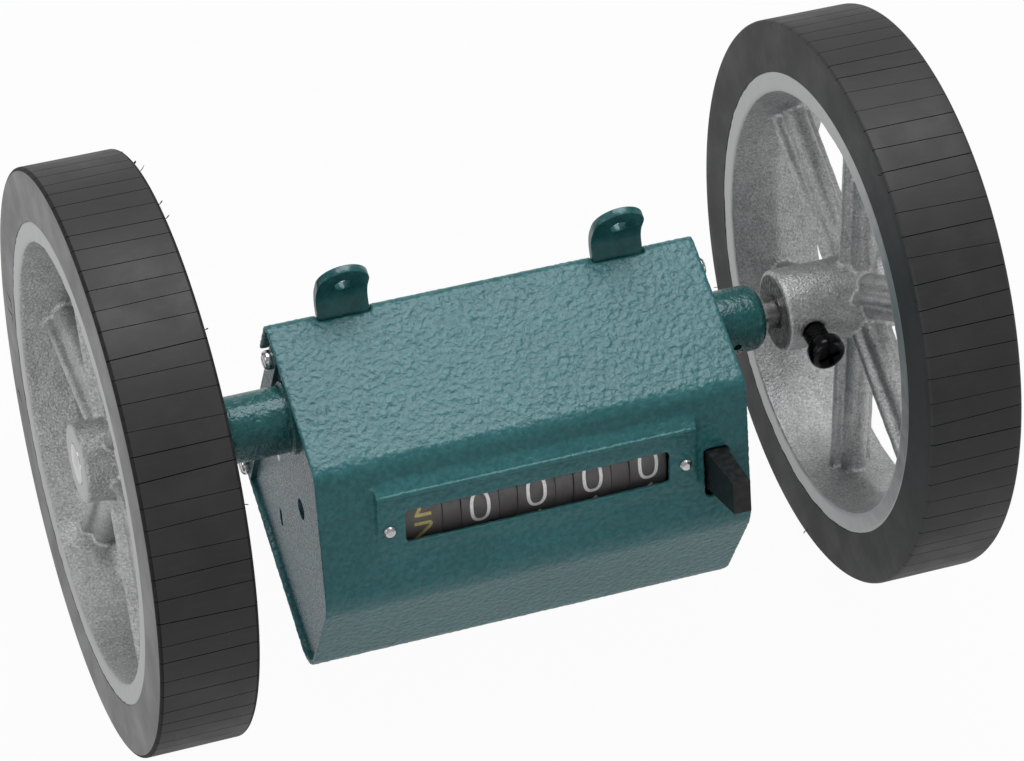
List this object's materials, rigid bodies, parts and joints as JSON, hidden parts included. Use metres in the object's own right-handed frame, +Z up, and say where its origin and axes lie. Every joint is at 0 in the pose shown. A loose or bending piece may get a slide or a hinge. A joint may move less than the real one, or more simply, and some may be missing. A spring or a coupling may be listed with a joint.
{
  "type": "cable length counter",
  "caption": "Length counter with two rubber-tyred wheels on one shaft, a hanging casing with a figure window, a reset lever and two upright mounting ears.",
  "frame": {"origin": "on the wheel shaft axis, midway between the wheels", "axes": "+X along the wheel shaft towards the reset lever side, +Z up along the mounting ears, +Y back through the ear holes; the sloping window faces -Y and up"},
  "size_m": [0.1578, 0.1062, 0.1062],
  "materials": {
    "hammertone": "green hammertone enamel",
    "sleeve_paint": "dark green enamel",
    "dark_paint": "dark green enamel",
    "grey_paint": "grey blue satin",
    "bracket_steel": "thin grey green paint",
    "bearing": "sintered bronze",
    "steel": "bright turned steel",
    "black_steel": "black oxide",
    "casting": "as cast, mottled",
    "tyre": "ground rubber",
    "pane": "clear",
    "figures": "dark drum, white figures",
    "figures_low": "dark drum, yellow figures",
    "gear": "cut",
    "lever": "black satin",
    "comb": "stamped"
  },
  "bodies": {
    "casing": {"cover": "hammertone", "back_cover": "dark_paint", "mounting_bracket": "bracket_steel", "left_end_plate": "grey_paint", "right_end_plate": "grey_paint", "left_sleeve": "sleeve_paint", "right_sleeve": "sleeve_paint", "left_bush": "bearing", "right_bush": "bearing", "window_pane": "pane", "window_pins": "steel", "back_screws": "steel", "number_axle": "steel", "cluster_arbor": "steel", "pinion_shaft": "steel", "lever_pin": "steel", "lever_spring": "steel", "comb_shaft": "steel"},
    "wheels": {"drive_shaft": "steel", "left_wheel": "casting", "right_wheel": "casting", "left_tyre": "tyre", "right_tyre": "tyre", "left_set_screw": "black_steel", "right_set_screw": "black_steel", "drive_gear": "gear"},
    "cluster": {"cluster_gear": "gear"},
    "figures_1": {"number_wheel_1": "figures_low", "counter_gear": "gear"},
    "figures_2": {"number_wheel_2": "figures"},
    "figures_3": {"number_wheel_3": "figures"},
    "figures_4": {"number_wheel_4": "figures"},
    "figures_5": {"number_wheel_5": "figures"},
    "carry_1": {"transfer_pinion_1": "gear"},
    "carry_2": {"transfer_pinion_2": "gear"},
    "carry_3": {"transfer_pinion_3": "gear"},
    "carry_4": {"transfer_pinion_4": "gear"},
    "lever": {"reset_lever": "lever"},
    "comb": {"reset_comb": "comb"}
  },
  "joints": [
    {"name": "wheel_spin", "type": "hinge", "parent": "casing", "child": "wheels", "pos_m": [0, 0, 0], "axis": [1, 0, 0], "continuous": true},
    {"name": "cluster_spin", "type": "hinge", "parent": "casing", "child": "cluster", "pos_m": [0, 0.00029, -0.0168], "axis": [1, 0, 0], "continuous": true},
    {"name": "figures_1_spin", "type": "hinge", "parent": "casing", "child": "figures_1", "pos_m": [0, -0.0126, -0.0123], "axis": [1, 0, 0], "continuous": true},
    {"name": "figures_2_spin", "type": "hinge", "parent": "casing", "child": "figures_2", "pos_m": [0, -0.0126, -0.0123], "axis": [1, 0, 0], "continuous": true},
    {"name": "figures_3_spin", "type": "hinge", "parent": "casing", "child": "figures_3", "pos_m": [0, -0.0126, -0.0123], "axis": [1, 0, 0], "continuous": true},
    {"name": "figures_4_spin", "type": "hinge", "parent": "casing", "child": "figures_4", "pos_m": [0, -0.0126, -0.0123], "axis": [1, 0, 0], "continuous": true},
    {"name": "figures_5_spin", "type": "hinge", "parent": "casing", "child": "figures_5", "pos_m": [0, -0.0126, -0.0123], "axis": [1, 0, 0], "continuous": true},
    {"name": "carry_1_spin", "type": "hinge", "parent": "casing", "child": "carry_1", "pos_m": [0, -0.00969, -0.02599], "axis": [1, 0, 0], "continuous": true},
    {"name": "carry_2_spin", "type": "hinge", "parent": "casing", "child": "carry_2", "pos_m": [0, -0.00969, -0.02599], "axis": [1, 0, 0], "continuous": true},
    {"name": "carry_3_spin", "type": "hinge", "parent": "casing", "child": "carry_3", "pos_m": [0, -0.00969, -0.02599], "axis": [1, 0, 0], "continuous": true},
    {"name": "carry_4_spin", "type": "hinge", "parent": "casing", "child": "carry_4", "pos_m": [0, -0.00969, -0.02599], "axis": [1, 0, 0], "continuous": true},
    {"name": "lever_press", "type": "hinge", "parent": "casing", "child": "lever", "pos_m": [0, -0.02248, -0.0071], "axis": [1, 0, 0], "range_deg": [0, 15], "stiffness_Nm_per_rad": 0.02, "springref_deg": -8.59},
    {"name": "comb_swing", "type": "hinge", "parent": "casing", "child": "comb", "pos_m": [0, -0.025, -0.027], "axis": [1, 0, 0], "range_deg": [-6, 0]}
  ],
  "couplings": [
    {"joint": "cluster_spin", "follows": "wheel_spin", "ratio": -0.6},
    {"joint": "figures_1_spin", "follows": "wheel_spin", "ratio": 0.33333},
    {"joint": "figures_2_spin", "follows": "wheel_spin", "ratio": 0.033333},
    {"joint": "figures_3_spin", "follows": "wheel_spin", "ratio": 0.0033333},
    {"joint": "figures_4_spin", "follows": "wheel_spin", "ratio": 0.00033333},
    {"joint": "figures_5_spin", "follows": "wheel_spin", "ratio": 0.000033333},
    {"joint": "carry_1_spin", "follows": "wheel_spin", "ratio": -0.083333},
    {"joint": "carry_2_spin", "follows": "wheel_spin", "ratio": -0.0083333},
    {"joint": "carry_3_spin", "follows": "wheel_spin", "ratio": -0.00083333},
    {"joint": "carry_4_spin", "follows": "wheel_spin", "ratio": -0.000083333},
    {"joint": "comb_swing", "follows": "lever_press", "ratio": -0.3587}
  ]
}
